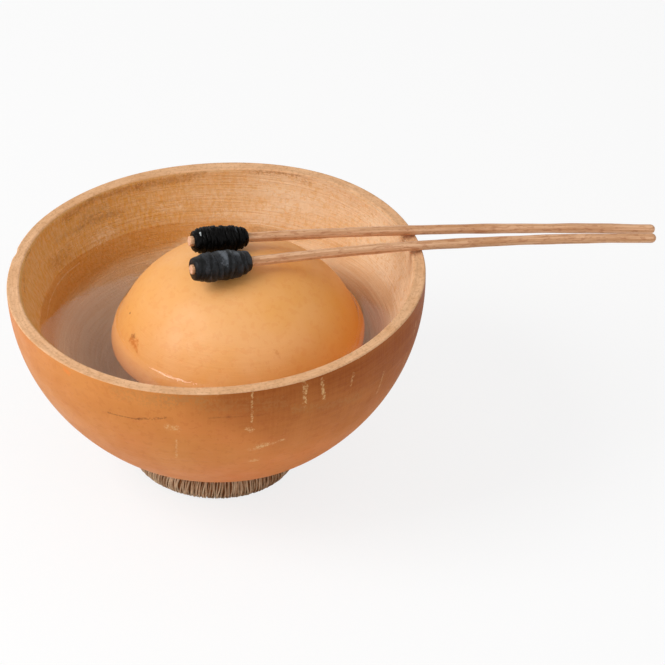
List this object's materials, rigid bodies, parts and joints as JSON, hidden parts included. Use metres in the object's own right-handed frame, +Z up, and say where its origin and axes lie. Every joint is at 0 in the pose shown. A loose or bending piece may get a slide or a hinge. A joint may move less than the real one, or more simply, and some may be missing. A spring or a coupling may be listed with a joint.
{
  "type": "gourd water drum",
  "caption": "Half-gourd bowl of water on a lashed ring, with a smaller half gourd floating upside down in it and beaters wound with rubber strip.",
  "frame": {"origin": "middle of the ring's flat underside, on the floor and on the bowl's upright axis", "axes": "+Z up, +X towards the free ends of the beaters, +Y away from the side shown in the picture"},
  "size_m": [0.6487, 0.4159, 0.2759],
  "materials": {
    "straw": "dry twisted straw",
    "fibre_cord": "plant-fibre cord, light and dark strands",
    "bowl_gourd": "waxed dried gourd, pale at the cut rim",
    "water": "still clear water",
    "float_gourd": "smooth dried gourd, satin",
    "stick_wood": "peeled straight-grained wood",
    "black_rubber": "glossy narrow rubber strip",
    "grey_rubber": "matt wide rubber strip"
  },
  "bodies": {
    "stand": {"ring_core": "straw", "ring_lashing": "fibre_cord"},
    "bowl": {"bowl": "bowl_gourd"},
    "water": {"water": "water"},
    "float": {"float_gourd": "float_gourd"},
    "rear_beater": {"rear_stick": "stick_wood", "rear_winding": "black_rubber"},
    "front_beater": {"front_stick": "stick_wood", "front_winding": "grey_rubber"}
  },
  "joints": [
    {"name": "bowl_lift", "type": "slide", "parent": "stand", "child": "bowl", "axis": [0, 0, 1], "range_m": [0, 0.1]},
    {"name": "water_swirl", "type": "hinge", "parent": "bowl", "child": "water", "pos_m": [0, 0, 0.1], "axis": [0, 0, 1], "continuous": true},
    {"name": "float_lift", "type": "slide", "parent": "water", "child": "float", "axis": [0, 0, 1], "range_m": [0, 0.12]},
    {"name": "rear_beater_lift", "type": "slide", "parent": "float", "child": "rear_beater", "axis": [0, 0, 1], "range_m": [0, 0.1]},
    {"name": "front_beater_lift", "type": "slide", "parent": "float", "child": "front_beater", "axis": [0, 0, 1], "range_m": [0, 0.1]}
  ]
}
